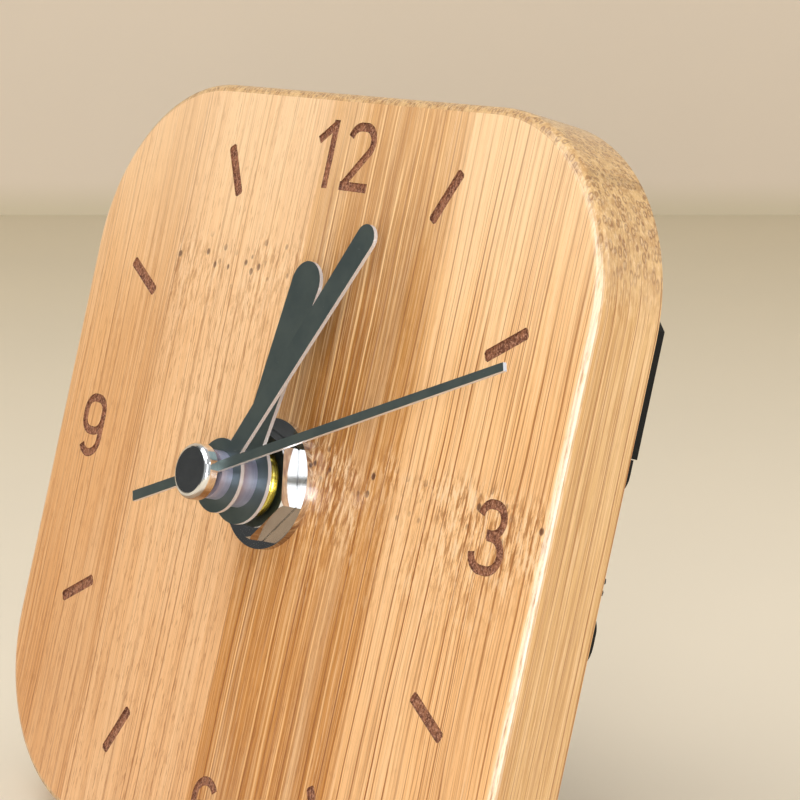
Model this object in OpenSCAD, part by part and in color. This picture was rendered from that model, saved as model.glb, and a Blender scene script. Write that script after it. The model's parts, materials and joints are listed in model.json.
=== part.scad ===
// Small bamboo desk clock that leans back on a peg, with a quartz movement.
// Every sub-part is drawn in the clock's own plane: X to the right, Y up the face, Z out of the face,
// with the hand shaft as the origin, and place_on_table() then leans it back and stands it on Z = 0.

/* [Face panel] */
// Width of the bamboo panel
panel_w = 89; // [84:1:100]
// Height of the bamboo panel
panel_h = 87; // [84:1:100]
// Thickness of the bamboo panel
panel_t = 8.6; // [8:0.1:9.5]
// Radius of the four corners seen from the front
corner_r = 20.6; // [14:0.1:24]
// Rounding of the front edge
edge_r = 1.2; // [0.6:0.1:2]
// Angle that the panel leans back from upright
lean = 15.6; // [12:0.1:20]
// How far the engraved ring is centred above the shaft
dial_rise = 0.8; // [0:0.1:1.5]

/* [Engraving] */
// Depth of the engraved marks and numerals
engrave_depth = 0.3; // [0.2:0.1:0.8]
// Radius to the inner end of the hour marks
mark_inner = 34.6; // [30:0.1:36]
// Radius to the outer end of the hour marks
mark_outer = 41; // [38:0.1:42]
// Width of an hour mark
mark_w = 1.3; // [0.8:0.05:1.5]
// Height of the numerals
digit_h = 7.6; // [6:0.1:8]
// Width of the line that draws the numerals
digit_stroke = 1; // [0.6:0.05:1.1]
// Radius to the outer edge of the numerals
digit_outer = 39.6; // [38:0.1:40]

/* [Hands] */
// Where the minute hand points at rest, in degrees clockwise from 12
minute_angle = 30.6; // [0:0.1:60]
// Where the hour hand points at rest
hour_angle = 10.5; // [0:0.1:25]
// Where the second hand points at rest
second_angle = 68.3; // [60:0.1:90]
// Length of the hour hand from the shaft
hour_len = 24.8; // [20:0.1:28]
// Length of the minute hand from the shaft
minute_len = 33.4; // [30:0.1:36]
// Length of the second hand from the shaft
second_len = 47; // [40:0.1:48]
// Length of the second hand's tail
second_tail = 12.4; // [8:0.1:14]
// Thickness of the sheet-metal hands
hand_t = 0.45; // [0.3:0.05:0.5]

/* [Movement case] */
// Width and height of the square movement case
case_w = 56; // [56:1:56]
// Depth of the case at the battery bay
case_depth = 16.4; // [16.4:0.1:17]
// Wall thickness of the case
wall = 1.2; // [1:0.1:1.2]

/* [Stand] */
// Diameter of the wooden peg that props the clock from behind
peg_d = 8; // [6:0.5:9]
// How far the peg stands out behind the panel
peg_len = 27; // [24:1:30]

/* [Hidden] */

$fn = 64;
slack = 0.05;        // running clearance between a shaft and its hole, on the radius
eps = 0.02;          // overlap that lets a cutter break cleanly through a face

// Depths behind the face, as Z values in the clock's own plane
gasket_t = 1;
foot_cut = 0.6;                              // how much of the lower back edge is planed off level
back_z = -panel_t;
case_z = back_z - gasket_t;                  // front of the movement case
bay_z = case_z - case_depth;                 // rear rim of the battery bay
cover_z = bay_z + 0.5;                       // rear face of the cover
cover_t = 1.5;
works_z = cover_z + cover_t;                 // rear rim of the case around the wheels
floor_z = case_z - wall;                     // inside face of the case front

screw_places = [[-22.6, -23], [22.6, -23], [-24, 7.5]];
case_cut = 3;                                // how far the case's outer corners are cut off
inner_cut = 1.9;                             // the same on the inside of its walls
waist_y = -9.5;                              // where the sides begin to draw in
waist_drop = 3.5;                            // height over which they draw in
waist_in = 1.5;                              // how far they draw in below that

// Battery bay across the top of the case
battery_r = 7.1;
battery_len = 49.2;
bay_low = 11;                                // lower wall of the bay
bay_mid = (bay_low + case_w / 2) / 2;
battery_z = floor_z - 7.4;

// Fixing hardware on the front
washer_r = 7.2;
washer_t = 0.8;
nut_corner_r = 6.35;
nut_t = 2;
nut_turn = 45;
nut_relief = 0.14;                           // step round the nut's lower edge
bushing_r = 3.95;
bushing_top = 3.45;

// Tubes and shafts, from the outside in
hour_tube_r = 2.55;
minute_tube_r = 1.7;
second_shaft_r = 0.55;
pin_r = 0.45;
hour_bore_r = minute_tube_r + slack;
minute_bore_r = second_shaft_r + slack;
bushing_bore_r = hour_tube_r + slack;

// Heights of the hands
hour_z = 3.85;
minute_z = 6.85;
second_z = 9.15;
cap_top = 11.1;
cap_r = 3.05;
cap_round = 0.7;     // radius of the cap's rounded front edge
boss_r_hour = 4.9;
boss_r_minute = 4.05;
sleeve_t = 0.3;

// Gear modules: each pair's sum of pitch radii is the distance between its axes
m_hand = 0.35;       // cannon pinion 12, motion wheel 36, idler 12, knob gear 20
m_hour = m_hand * 48 / 50;      // motion pinion 10, hour wheel 40
m_train = 0.25;      // second pinion 8, third wheel 64
m_centre = m_train * 72 / 68;   // third pinion 8, centre wheel 60
m_rotor = 0.2;       // rotor pinion 10 and fifth wheel 60; fifth pinion 12 and second wheel 60
set_dir = -7.4;      // direction from the shaft to the motion wheel and the knob
motion_at = 24 * m_hand;
idler_at = motion_at + 24 * m_hand;
knob_at = idler_at + 16 * m_hand;
third_dir = 172;
third_at = 36 * m_train;
fifth_dir = 262;
fifth_at = 36 * m_rotor;
rotor_dir = 200;     // direction from the fifth wheel to the rotor
rotor_at = 35 * m_rotor;
rotor_x = fifth_at * cos(fifth_dir) + rotor_at * cos(rotor_dir);
rotor_y = fifth_at * sin(fifth_dir) + rotor_at * sin(rotor_dir);
knob_r = 5.7;
well_r = knob_r + 0.7;
notch_low = -5.6;                            // finger notch beside the knob, in the case's right side
notch_high = 6.6;
notch_in = 1.3;
notch_r = 2.5;
well_z = works_z + 2.3;                      // floor of the well that the knob sits in

// Z levels of the wheels, front to back
flange_t = 0.8;
hour_wheel_z = floor_z - flange_t - 1;
motion_z = hour_wheel_z - 1.3;
centre_z = motion_z - 1.6;
plate_z = centre_z - 1.9;
third_z = plate_z - 1.7;
second_wheel_z = third_z - 1.4;
fifth_z = second_wheel_z - 1.3;
rotor_z = second_wheel_z + 0.3;
wheel_t = 0.7;

// Peg behind the panel: its height on the back, and how deep it is let into the panel
peg_y = peg_d / 2 + 4.5 - panel_h / 2;
peg_socket = 4;

// Numerals: the top centre line, and the centre-line radii of the upper and lower bowls
digit_top = digit_h / 2 - digit_stroke / 2;
bowl_up = digit_h * 0.2;
bowl_low = digit_h * 0.225;

// Coil and circuit board
coil_len = 17;
coil_x = -2;
coil_y = -21.3;
coil_z = rotor_z + 0.6;
board_x = 11.6;
board_z = plate_z - 1.2;

// Turn that puts a tooth gap of the second wheel opposite a tooth of the first.
// The first wheel is turned by turn_a, and the second lies in direction dir from it.
function mesh_turn(teeth_a, turn_a, teeth_b, dir) =
    dir + 180 + 180 / teeth_b - (turn_a - dir) * teeth_a / teeth_b;

turn_second = 0;
turn_fifth = mesh_turn(60, turn_second, 12, fifth_dir);
turn_rotor = mesh_turn(60, turn_fifth, 10, rotor_dir);
turn_third = mesh_turn(8, turn_second, 64, third_dir);
turn_centre = mesh_turn(8, turn_third, 60, third_dir + 180);
turn_minute = 0;
turn_motion = mesh_turn(12, turn_minute, 36, set_dir);
turn_hour = mesh_turn(10, turn_motion, 40, set_dir + 180);
turn_idler = mesh_turn(36, turn_motion, 12, set_dir);
turn_knob = mesh_turn(12, turn_idler, 20, set_dir);

// Standing position: the lower back edge is planed flat on the table, and the box is centred on Y = 0
shaft_z = panel_h / 2 * cos(lean) + panel_t * sin(lean) - foot_cut;
front_reach = (panel_h / 2 - edge_r) * sin(lean) - edge_r * cos(lean) + edge_r;
back_reach = case_w / 2 * sin(lean) - bay_z * cos(lean);
shaft_y = (front_reach - back_reach) / 2;

module place_on_table() {
    translate([0, shaft_y, shaft_z])
        rotate([90 - lean, 0, 0])
            children();
}

// Everything below the table top
module below_table() {
    translate([-100, -100, -50])
        cube([200, 200, 50]);
}

// ---------- drawing helpers ----------

function polar(r, a) = [r * cos(a), r * sin(a)];
function arc(x, y, r, a0, a1, n) = [for (i = [0:n]) [x, y] + polar(r, a0 + (a1 - a0) * i / n)];
function unit(v) = v / norm(v);
function left_of(v) = [-v[1], v[0]];
// Sideways direction at point i of a path, for drawing a line of even width
function side_at(path, i) =
    let (n = len(path) - 1)
    let (a = i > 0 ? unit(path[i] - path[i - 1]) : unit(path[1] - path[0]))
    let (b = i < n ? unit(path[i + 1] - path[i]) : unit(path[n] - path[n - 1]))
    let (m = unit(a + b))
    left_of(m) / max(0.5, m * a);

// A line of even width along a path
module stroke(path, w) {
    last = len(path) - 1;
    polygon(concat(
        [for (i = [0:last]) path[i] + side_at(path, i) * w / 2],
        [for (i = [last:-1:0]) path[i] - side_at(path, i) * w / 2]
    ));
}

// Outline of a spur gear: four points a tooth, thin enough to leave backlash
module gear_outline(teeth, m) {
    r = teeth * m / 2;
    root = r - 1.15 * m;
    tip = r + 0.8 * m;
    half_pitch = 180 / teeth;
    polygon([for (i = [0:teeth - 1], k = [[-0.62, root], [-0.2, tip], [0.2, tip], [0.62, root]])
        polar(k[1], (2 * i + k[0]) * half_pitch)]);
}

// A spur wheel from z upwards with a hole in the middle; one tooth points along X
module spur(teeth, m, z, t, hole_r) {
    translate([0, 0, z])
        difference() {
            linear_extrude(t)
                gear_outline(teeth, m);
            translate([0, 0, -1])
                cylinder(h = t + 2, r = hole_r);
        }
}

// A spur wheel with round windows between its hub and its rim
module light_spur(teeth, m, z, t, hole_r) {
    r = teeth * m / 2;
    difference() {
        spur(teeth, m, z, t, hole_r);
        for (i = [0:4])
            rotate(72 * i + 20)
                translate([r * 0.56, 0, z - 1])
                    cylinder(h = t + 2, r = r * 0.2, $fn = 32);
    }
}

module ring(z, h, r_out, r_in) {
    translate([0, 0, z])
        difference() {
            cylinder(h = h, r = r_out);
            translate([0, 0, -1])
                cylinder(h = h + 2, r = r_in);
        }
}

module disc(z, h, r) {
    translate([0, 0, z])
        cylinder(h = h, r = r);
}

// Moves children out from the shaft in direction dir
module at(r, dir) {
    translate([r * cos(dir), r * sin(dir), 0])
        children();
}

// ---------- face panel ----------

// One quarter of a corner, with the front edge rounded, from the panel's back to its front
module corner_post() {
    rotate_extrude(angle = 90)
        polygon(concat(
            [[0, back_z], [corner_r, back_z]],
            arc(corner_r - edge_r, -edge_r, edge_r, 0, 90, 8),
            [[0, 0]]
        ));
}

// The straight border between two corners, with the same rounded front edge
module edge_bar(length) {
    rotate([90, 0, 0])
        linear_extrude(length, center = true)
            polygon(concat(
                [[0, back_z], [corner_r, back_z]],
                arc(corner_r - edge_r, -edge_r, edge_r, 0, 90, 8),
                [[0, 0]]
            ));
}

module panel_blank() {
    half_x = panel_w / 2 - corner_r;
    half_y = panel_h / 2 - corner_r;
    translate([-half_x, -half_y, back_z])
        cube([2 * half_x, 2 * half_y, panel_t]);
    for (s = [0, 1]) {
        rotate(180 * s) {
            translate([half_x, 0, 0])
                edge_bar(2 * half_y);
            rotate(90)
                translate([half_y, 0, 0])
                    edge_bar(2 * half_x);
            translate([half_x, half_y, 0])
                corner_post();
            translate([-half_x, half_y, 0])
                rotate(90)
                    corner_post();
        }
    }
}

module hour_mark() {
    chamfer = 0.25;
    polygon([
        [mark_inner + chamfer, -mark_w / 2], [mark_outer - chamfer, -mark_w / 2],
        [mark_outer, -mark_w / 2 + chamfer], [mark_outer, mark_w / 2 - chamfer],
        [mark_outer - chamfer, mark_w / 2], [mark_inner + chamfer, mark_w / 2],
        [mark_inner, mark_w / 2 - chamfer], [mark_inner, -mark_w / 2 + chamfer]
    ]);
}

// The numerals are drawn about their own middle
module digit_one() {
    stroke([[0.9, -digit_h / 2], [0.9, digit_h / 2]], digit_stroke);
    stroke([[0.9, digit_h / 2 - 0.5], [-1.6, digit_h / 2 - 2.4]], digit_stroke);
}

module digit_two() {
    r = digit_h * 0.215;
    y = digit_top - r;
    stroke(concat(
        arc(-0.4, y, r, 165, 95, 5),
        arc(0.4, y, r, 85, -38, 9),
        [[-1.95, -digit_top]]
    ), digit_stroke);
    stroke([[-2.4, -digit_top], [2.4, -digit_top]], digit_stroke);
}

module digit_three() {
    y_up = digit_top - bowl_up;
    y_low = bowl_low - digit_top;
    stroke(concat(
        arc(-0.2, y_up, bowl_up, 170, 95, 5),
        arc(0.25, y_up, bowl_up, 85, -85, 12),
        [[-0.4, y_up - bowl_up]]
    ), digit_stroke);
    stroke(concat(
        [[-0.2, y_low + bowl_low]],
        arc(0.45, y_low, bowl_low, 85, -85, 12),
        arc(-0.35, y_low, bowl_low, 265, 185, 6)
    ), digit_stroke);
}

module digit_nine() {
    r = digit_h * 0.2;
    y = digit_top - r;
    lower = y - 0.9;
    difference() {
        polygon(concat(
            arc(0.35, y, r + digit_stroke / 2, 0, 90, 6), arc(-0.35, y, r + digit_stroke / 2, 90, 180, 6),
            arc(-0.35, lower, r + digit_stroke / 2, 180, 270, 6), arc(0.35, lower, r + digit_stroke / 2, 270, 360, 6)
        ));
        polygon(concat(
            arc(0.35, y, r - digit_stroke / 2, 0, 90, 6), arc(-0.35, y, r - digit_stroke / 2, 90, 180, 6),
            arc(-0.35, lower, r - digit_stroke / 2, 180, 270, 6), arc(0.35, lower, r - digit_stroke / 2, 270, 360, 6)
        ));
    }
    stroke(concat(
        [[0.35 + r, lower]],
        arc(0.05, r + 0.3 - digit_top, r + 0.3, 0, -150, 12)
    ), digit_stroke);
}

module engraving() {
    translate([0, dial_rise, -engrave_depth])
        linear_extrude(engrave_depth + 1) {
            for (hour = [1:12])
                if (hour % 3 != 0)
                    rotate(30 * hour)
                        hour_mark();
            translate([-2.9, digit_outer - digit_h / 2])
                digit_one();
            translate([3.0, digit_outer - digit_h / 2])
                digit_two();
            translate([36.1, 0])
                digit_three();
            translate([-36.9, 0.2])
                digit_nine();
            translate([0.1, digit_h / 2 - mark_outer])
                rotate(180)
                    digit_nine();
        }
}

module dial_panel() {
    color("burlywood")
        difference() {
            place_on_table()
                difference() {
                    panel_blank();
                    engraving();
                    translate([0, 0, back_z - 1])
                        cylinder(h = panel_t + 2, r = bushing_r + 0.15);
                    translate([0, peg_y, back_z - 1])
                        cylinder(h = peg_socket + 1, r = peg_d / 2);
                }
            below_table();
        }
}

module rear_peg() {
    color("peru")
        difference() {
            place_on_table()
                translate([0, peg_y, back_z - peg_len])
                    cylinder(h = peg_len + peg_socket, r = peg_d / 2);
            below_table();
        }
}

// ---------- fixing hardware ----------

module gasket() {
    color("dimgray")
        ring(case_z, gasket_t, 12, bushing_r + 0.2);
}

module washer() {
    color("silver")
        ring(0, washer_t, washer_r, bushing_r + 0.15);
}

module hex_nut() {
    color("gainsboro")
        rotate(nut_turn)
            difference() {
                intersection() {
                    // the sides stop just short of the washer
                    union() {
                        translate([0, 0, washer_t])
                            cylinder(h = nut_t, r = nut_corner_r - nut_relief, $fn = 6);
                        translate([0, 0, washer_t + nut_relief])
                            cylinder(h = nut_t - nut_relief, r = nut_corner_r, $fn = 6);
                    }
                    // chamfered corners on the outer face
                    translate([0, 0, washer_t])
                        cylinder(h = nut_t, r1 = nut_corner_r + 1.6, r2 = nut_corner_r - 0.25);
                }
                cylinder(h = 10, r = bushing_r);
            }
}

module threaded_bushing() {
    flange_r = 5.6;
    groove_w = 0.14;
    color("goldenrod")
        difference() {
            union() {
                disc(floor_z - flange_t, flange_t, flange_r);
                disc(floor_z - eps, bushing_top - floor_z + eps, bushing_r);
            }
            translate([0, 0, floor_z - 2])
                cylinder(h = 30, r = bushing_bore_r);
            // shallow ring grooves stand for the thread that shows above the nut
            for (z = [washer_t + nut_t + groove_w:2 * groove_w:bushing_top - groove_w])
                ring(z, groove_w, bushing_r + 1, bushing_r - groove_w);
        }
}

// ---------- movement case ----------

// One side of the case, from the top corner down: the corners are cut off, and the lower half is drawn in
function case_side(half, cut) =
    let (low = half - waist_in)
    concat(
        [[half - cut, half], [half, half - cut]],
        arc(half - waist_drop, waist_y, waist_drop, 0, -acos(1 - waist_in / waist_drop), 6),
        [[low, cut - half], [low - cut, -half]]
    );

// The case's outline, from z upwards
module case_block(z, h, half, cut) {
    side = case_side(half, cut);
    last = len(side) - 1;
    translate([0, 0, z])
        linear_extrude(h)
            polygon(concat(side, [for (i = [last:-1:0]) [-side[i][0], side[i][1]]]));
}

// The finger notch in the right side, a shallow cut with rounded lips
module finger_notch(z, h) {
    edge = case_w / 2;
    translate([0, 0, z])
        linear_extrude(h)
            polygon(concat(
                [[edge + 1, notch_high + notch_r]],
                arc(edge - notch_r, notch_high + notch_r, notch_r, 0, -acos(1 - notch_in / notch_r), 6),
                arc(edge - notch_r, notch_low - notch_r, notch_r, acos(1 - notch_in / notch_r), 0, 6),
                [[edge + 1, notch_low - notch_r]]
            ));
}

// The space around the setting knob, open at the case's right side
module knob_space(r, z, h) {
    at(knob_at, set_dir)
        disc(z, h, r);
}

module case_shell() {
    inner = case_w / 2 - wall;
    color([0.1, 0.1, 0.1])
        difference() {
            case_block(bay_z, case_depth, case_w / 2, case_cut);
            // the wheel bay, below the battery
            intersection() {
                case_block(bay_z - 1, floor_z - bay_z + 1, inner, inner_cut);
                translate([-inner, -inner, bay_z - 1])
                    cube([2 * inner, inner + bay_low, 40]);
            }
            // the battery bay
            intersection() {
                case_block(bay_z - 1, floor_z - bay_z + 1, inner, inner_cut);
                translate([-inner, bay_low + wall, bay_z - 1])
                    cube([2 * inner, inner, 40]);
            }
            // the lower part stops where the rear cover begins
            translate([-case_w, -case_w, bay_z - 1])
                cube([2 * case_w, case_w + bay_low, works_z - bay_z + 1]);
            knob_space(well_r, bay_z - 1, well_z - bay_z + 1);
            finger_notch(bay_z - 1, well_z - bay_z + 1);
            // thumb notches that let the battery be lifted out
            for (x = [-7, 7])
                translate([x, case_w / 2, bay_z])
                    cylinder(h = 5, r = 4, center = true);
            disc(floor_z - 2, 10, bushing_r);
        }
    // bosses that take the cover screws
    color([0.1, 0.1, 0.1])
        for (p = screw_places)
            translate([p[0], p[1], 0])
                ring(works_z + 2.1, floor_z - works_z - 2.1 + eps, 2, 0.85);
}

module rear_cover() {
    inner = case_w / 2 - wall - 0.1;
    color([0.13, 0.13, 0.13])
        difference() {
            union() {
                intersection() {
                    case_block(cover_z, cover_t, case_w / 2, case_cut);
                    translate([-case_w, -case_w, cover_z])
                        cube([2 * case_w, case_w + bay_low - 0.1, cover_t]);
                }
                // the well around the setting knob
                intersection() {
                    knob_space(well_r + 0.8, cover_z + 0.1, well_z - cover_z + 0.9);
                    translate([-inner, -inner, cover_z - 1])
                        cube([2 * inner, 2 * inner, 20]);
                }
                for (p = screw_places)
                    translate([p[0], p[1], 0])
                        disc(works_z - eps, 2, 2);
            }
            knob_space(well_r, cover_z - 1, well_z - cover_z + 1);
            finger_notch(cover_z - 1, well_z - cover_z + 1);
            knob_space(1 + slack, cover_z, 20);
            for (p = screw_places)
                translate([p[0], p[1], 0]) {
                    disc(cover_z - 1, 10, 0.9);
                    disc(cover_z - 1, 1.9, 1.9);
                }
            // bearing holes for the second, third and fifth arbors
            disc(works_z - 0.9, 2, second_shaft_r + slack);
            at(third_at, third_dir)
                disc(works_z - 0.9, 2, pin_r + slack);
            at(fifth_at, fifth_dir)
                disc(works_z - 0.9, 2, pin_r + slack);
            translate([rotor_x, rotor_y, 0])
                disc(works_z - 0.9, 2, pin_r + slack);
        }
}

module cover_screws() {
    color("silver")
        for (p = screw_places)
            translate([p[0], p[1], 0])
                difference() {
                    union() {
                        disc(cover_z + 0.2, 0.7, 1.7);
                        disc(cover_z + 0.9 - eps, 4.2, 0.85);
                    }
                    for (a = [0, 90])
                        rotate(a)
                            translate([-1.1, -0.2, cover_z])
                                cube([2.2, 0.4, 0.55]);
                }
}

module train_plate() {
    plate_x = 14;
    plate_low = -16.5;
    color([0.85, 0.85, 0.8])
        difference() {
            union() {
                translate([-plate_x, plate_low, plate_z])
                    cube([2 * plate_x, bay_low - 0.3 - plate_low, 1]);
                // posts that stand on the case front
                for (x = [-1, 1], y = [plate_low + 1.6, bay_low - 1.9])
                    translate([x * (plate_x - 1.6), y, 0])
                        disc(plate_z + 1 - eps, floor_z - plate_z - 1 + eps, 1.4);
            }
            disc(plate_z - 1, 3, minute_tube_r + slack);
            at(third_at, third_dir)
                disc(plate_z - 1, 3, 1.9);
            at(fifth_at, fifth_dir)
                disc(plate_z - 1, 3, pin_r + slack);
            translate([rotor_x, rotor_y, 0])
                disc(plate_z - 1, 3, pin_r + slack);
        }
}

// Steel pins fixed in the case front, on which the motion wheel, the idler and the third wheel turn
module wheel_pins() {
    color("silver") {
        at(motion_at, set_dir)
            disc(motion_z - 0.5, floor_z - motion_z + 0.5, pin_r);
        at(idler_at, set_dir)
            disc(motion_z - 0.5, floor_z - motion_z + 0.5, pin_r);
        at(third_at, third_dir)
            disc(works_z - 0.8, floor_z - works_z + 0.8, pin_r);
    }
}

// ---------- battery and electrics ----------

module battery() {
    color("slategray")
        translate([-battery_len / 2, bay_mid, battery_z])
            rotate([0, 90, 0]) {
                cylinder(h = battery_len - 1.2, r = battery_r);
                translate([0, 0, battery_len - 1.2 - eps])
                    cylinder(h = 1.2 + eps, r = 2.7);
            }
}

module positive_contact() {
    inner = case_w / 2 - wall;
    color("gainsboro")
        difference() {
            union() {
                translate([inner - 0.7, bay_mid - 4, battery_z - 5])
                    cube([0.5, 8, 11]);
                translate([battery_len / 2 + 0.1, bay_mid - 2, battery_z - 2])
                    cube([inner - 0.6 - battery_len / 2, 4, 4]);
            }
            translate([battery_len / 2 + 0.6, bay_mid - 3, battery_z - 1.5])
                cube([inner - 1.2 - battery_len / 2, 6, 3]);
        }
}

module negative_contact() {
    inner = case_w / 2 - wall;
    turns = 2;
    color("gainsboro") {
        translate([-inner + 0.2, bay_mid - 5, battery_z - 5])
            cube([0.5, 10, 11]);
        // the flat coil spring that presses on the battery
        for (i = [0:turns - 1])
            translate([-inner + 0.7 - eps + i * 0.6, bay_mid, battery_z])
                rotate([0, 90, 0])
                    difference() {
                        cylinder(h = 0.6 + eps, r = 4 - i * 0.8);
                        translate([0, 0, -1])
                            cylinder(h = 3, r = 2.9 - i * 0.8);
                    }
    }
}

module coil_bobbin() {
    color("ivory")
        translate([coil_x - coil_len / 2, coil_y, coil_z])
            rotate([0, 90, 0])
                difference() {
                    union() {
                        cylinder(h = coil_len, r = 1.6);
                        for (x = [0, coil_len - 1])
                            translate([0, 0, x])
                                cylinder(h = 1, r = 3.6);
                    }
                    translate([-0.5, -1, -1])
                        cube([1, 2, coil_len + 2]);
                }
}

module coil_winding() {
    color("chocolate")
        translate([coil_x - coil_len / 2 + 1, coil_y, coil_z])
            rotate([0, 90, 0])
                ring(0, coil_len - 2, 3.1, 1.6);
}

// Flat iron: a bar through the coil, two legs, and a plate with a hole around the rotor
module stator() {
    t = 0.8;
    leg = 2.2;
    color("lightgray")
        difference() {
            union() {
                translate([coil_x - coil_len / 2 - leg, coil_y - 0.9, coil_z - t / 2])
                    cube([coil_len + 2 * leg, 1.8, t]);
                for (x = [coil_x - coil_len / 2 - leg, coil_x + coil_len / 2])
                    translate([x, coil_y - 0.9, coil_z - t / 2])
                        cube([leg, rotor_y + 2 - coil_y, t]);
                translate([coil_x - coil_len / 2 - leg, rotor_y - 3, coil_z - t / 2])
                    cube([coil_len + 2 * leg, 5.5, t]);
            }
            translate([rotor_x, rotor_y, coil_z - 2])
                cylinder(h = 4, r = 2.3);
            translate([fifth_at * cos(fifth_dir), fifth_at * sin(fifth_dir), coil_z - 2])
                cylinder(h = 4, r = 1.6, $fn = 32);
        }
}

module circuit_board() {
    color("saddlebrown")
        difference() {
            translate([board_x, -25.5, board_z])
                cube([8.5, 15, 0.8]);
            translate([board_x + 6.5, -12.5, board_z - 1])
                cylinder(h = 3, r = 0.8, $fn = 32);
        }
}

module quartz_crystal() {
    color("silver")
        translate([board_x + 1.9, -19, board_z - 1.1])
            rotate([-90, 0, 0]) {
                cylinder(h = 6, r = 1);
                for (x = [-0.4, 0.4])
                    translate([x, 0, -1.6])
                        cylinder(h = 1.7, r = 0.15, $fn = 16);
            }
}

module chip_cover() {
    color("black")
        translate([board_x + 5.6, -20, board_z])
            rotate([180, 0, 0])
                cylinder(h = 0.9, r1 = 2.2, r2 = 1.2);
}

// ---------- wheels ----------

module second_wheel() {
    color("white") {
        rotate(turn_second) {
            light_spur(60, m_rotor, second_wheel_z, wheel_t, second_shaft_r - 0.15);
            spur(8, m_train, second_wheel_z + wheel_t - eps, third_z + 1.1 - second_wheel_z, second_shaft_r - 0.15);
        }
        disc(works_z - 0.7, second_z - works_z + 1.5, second_shaft_r);
    }
}

module fifth_wheel() {
    color("white")
        at(fifth_at, fifth_dir) {
            rotate(turn_fifth) {
                spur(60, m_rotor, fifth_z, wheel_t, pin_r - 0.1);
                spur(12, m_rotor, fifth_z + wheel_t - eps, second_wheel_z + 1 - fifth_z, pin_r - 0.1);
            }
            disc(works_z - 0.7, plate_z + 0.8 - works_z + 0.7, pin_r);
        }
}

module rotor() {
    color("darkslategray")
        translate([rotor_x, rotor_y, 0]) {
            rotate(turn_rotor)
                spur(10, m_rotor, fifth_z - 0.2, 1.2, pin_r - 0.1);
            disc(fifth_z + 1 - eps, coil_z + 0.9 - fifth_z - 1, 1.9);
            disc(works_z - 0.7, plate_z + 0.8 - works_z + 0.7, pin_r);
        }
}

module third_wheel() {
    color("white")
        at(third_at, third_dir)
            rotate(turn_third) {
                light_spur(64, m_train, third_z, wheel_t, pin_r + slack);
                spur(8, m_centre, third_z + wheel_t - eps, centre_z + 0.9 - third_z - wheel_t + eps, pin_r + slack);
            }
}

module centre_wheel() {
    color("white")
        rotate(turn_centre) {
            light_spur(60, m_centre, centre_z, wheel_t, minute_tube_r + slack);
            ring(centre_z + wheel_t - eps, 0.5, 2.6, minute_tube_r + slack);
        }
}

module minute_arbor() {
    color("white") {
        ring(plate_z + 0.2, minute_z + 1 - plate_z - 0.2, minute_tube_r, minute_bore_r);
        rotate(turn_minute)
            spur(12, m_hand, motion_z - 0.1, 0.9, minute_tube_r - 0.1);
    }
}

module motion_wheel() {
    color("white")
        at(motion_at, set_dir)
            rotate(turn_motion) {
                spur(36, m_hand, motion_z, wheel_t, pin_r + slack);
                spur(10, m_hour, motion_z + wheel_t - eps, hour_wheel_z + 0.8 - motion_z - wheel_t, pin_r + slack);
            }
}

module hour_wheel() {
    color("white") {
        ring(hour_wheel_z, hour_z + hand_t + 0.3 - hour_wheel_z, hour_tube_r, hour_bore_r);
        rotate(turn_hour)
            spur(40, m_hour, hour_wheel_z, wheel_t, hour_tube_r - 0.1);
    }
}

module setting_idler() {
    color("white")
        at(idler_at, set_dir)
            rotate(turn_idler)
                spur(12, m_hand, motion_z, wheel_t, pin_r + slack);
}

module setting_knob() {
    ribs = 26;
    knob_t = 2;
    color([0.15, 0.15, 0.15])
        at(knob_at, set_dir) {
            rotate(turn_knob)
                spur(20, m_hand, motion_z, wheel_t, 0.5);
            disc(cover_z + 0.4, motion_z + wheel_t - cover_z - 0.4, 1);
            translate([0, 0, cover_z + 0.1])
                linear_extrude(knob_t)
                    polygon([for (i = [0:ribs - 1], k = [[0, knob_r - 0.35], [0.3, knob_r], [0.7, knob_r], [1, knob_r - 0.35]])
                        polar(k[1], (i + k[0] * 0.75) * 360 / ribs)]);
        }
}

// ---------- hands ----------

// A flat hand: a round boss with a hole, and a blade that widens from its neck to a round tip
module paddle_hand(length, neck_w, tip_w, boss_r, hole_r, z) {
    tip_r = tip_w / 2;
    translate([0, 0, z])
        difference() {
            linear_extrude(hand_t)
                union() {
                    circle(r = boss_r);
                    polygon(concat(
                        [[neck_w / 2, 0]],
                        arc(0, length - tip_r, tip_r, 0, 180, 16),
                        [[-neck_w / 2, 0]]
                    ));
                }
            translate([0, 0, -1])
                cylinder(h = hand_t + 2, r = hole_r);
        }
}

module hour_hand() {
    color("slategray")
        rotate(-hour_angle)
            paddle_hand(hour_len, 3.5, 4.9, boss_r_hour, hour_tube_r + sleeve_t, hour_z);
}

// A collet: a thin sleeve through the hand's hole, and a wider collar that stands on the hand
module collet(z, below, height, collar_r, tube_r) {
    ring(z - below, below + hand_t + height, tube_r + sleeve_t, tube_r);
    ring(z + hand_t, height, collar_r, tube_r + sleeve_t - eps);
}

module hour_collet() {
    color("lightsteelblue")
        collet(hour_z, 0.3, 1.9, 3.1, hour_tube_r);
}

module minute_hand() {
    color("slategray")
        rotate(-minute_angle)
            paddle_hand(minute_len, 2.2, 3.0, boss_r_minute, minute_tube_r + sleeve_t, minute_z);
}

module minute_collet() {
    color("lightsteelblue")
        collet(minute_z, 0.25, 1.4, 2.65, minute_tube_r);
}

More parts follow.
